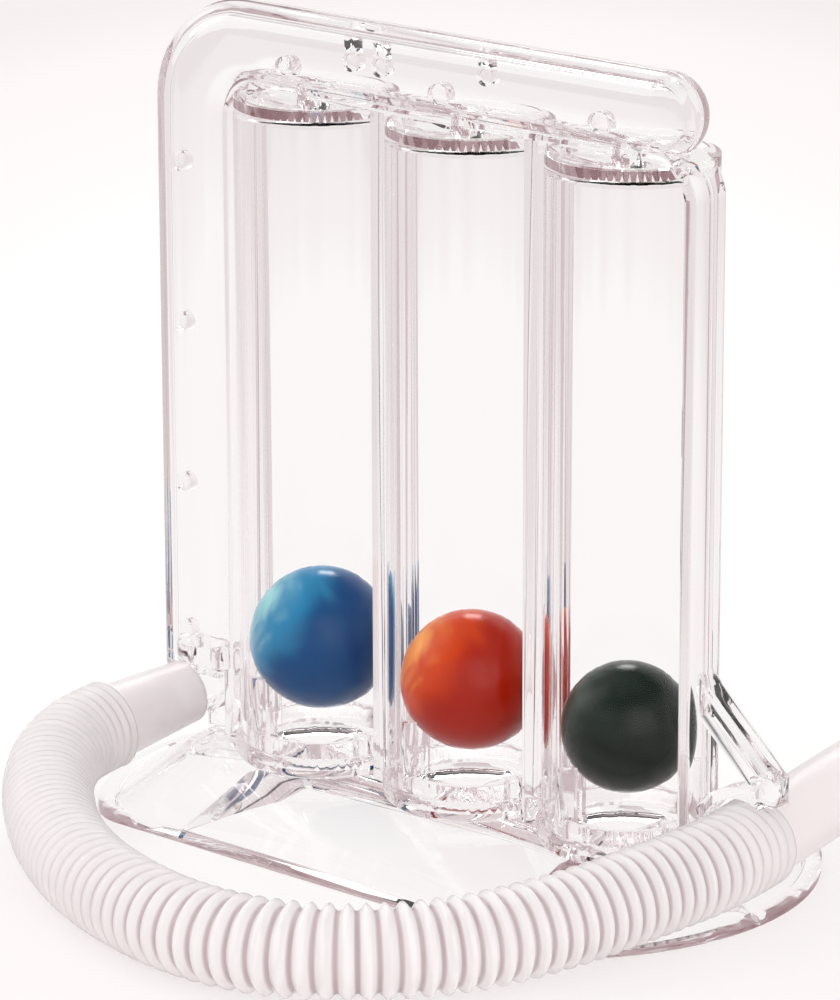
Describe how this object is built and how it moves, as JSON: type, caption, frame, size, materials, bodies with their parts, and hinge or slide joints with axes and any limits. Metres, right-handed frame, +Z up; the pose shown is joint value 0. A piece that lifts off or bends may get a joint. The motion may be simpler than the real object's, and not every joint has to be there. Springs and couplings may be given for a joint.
{
  "type": "incentive spirometer",
  "caption": "Free-standing breathing exerciser: balls rise in clear upright columns joined by an air duct to a corrugated hose with a mouthpiece.",
  "frame": {"origin": "on the table under the middle of the foot", "axes": "+X along the row of columns, +Y to the back, +Z up the columns"},
  "size_m": [0.15, 0.162, 0.1509],
  "materials": {
    "clear_housing": "clear polished polystyrene",
    "clear_foot": "clear polished polystyrene",
    "clear_seat": "clear polished polystyrene",
    "frosted_cuff": "soft milky polyethylene",
    "corrugated_hose": "translucent ribbed polyethylene",
    "frosted_mouthpiece": "milky moulded plastic",
    "blue_ball": "hollow moulded ball, slightly glossy",
    "orange_ball": "hollow moulded ball, slightly glossy",
    "green_ball": "hollow moulded ball, slightly glossy"
  },
  "bodies": {
    "housing": {"front_shell": "clear_housing", "rear_shell": "clear_housing", "base_plate": "clear_foot", "ball_seat_left": "clear_seat", "ball_seat_middle": "clear_seat", "ball_seat_right": "clear_seat", "port_elbow": "clear_housing", "hose_cuff": "frosted_cuff", "hose_tube": "corrugated_hose", "mouthpiece": "frosted_mouthpiece", "tube_bracket": "clear_housing"},
    "blue_ball": {"ball_blue": "blue_ball"},
    "orange_ball": {"ball_orange": "orange_ball"},
    "green_ball": {"ball_green": "green_ball"}
  },
  "joints": [
    {"name": "blue_rise", "type": "slide", "parent": "housing", "child": "blue_ball", "axis": [0, 0, 1], "range_m": [0, 0.08645]},
    {"name": "orange_rise", "type": "slide", "parent": "housing", "child": "orange_ball", "axis": [0, 0, 1], "range_m": [0, 0.08745]},
    {"name": "green_rise", "type": "slide", "parent": "housing", "child": "green_ball", "axis": [0, 0, 1], "range_m": [0, 0.08945]}
  ]
}
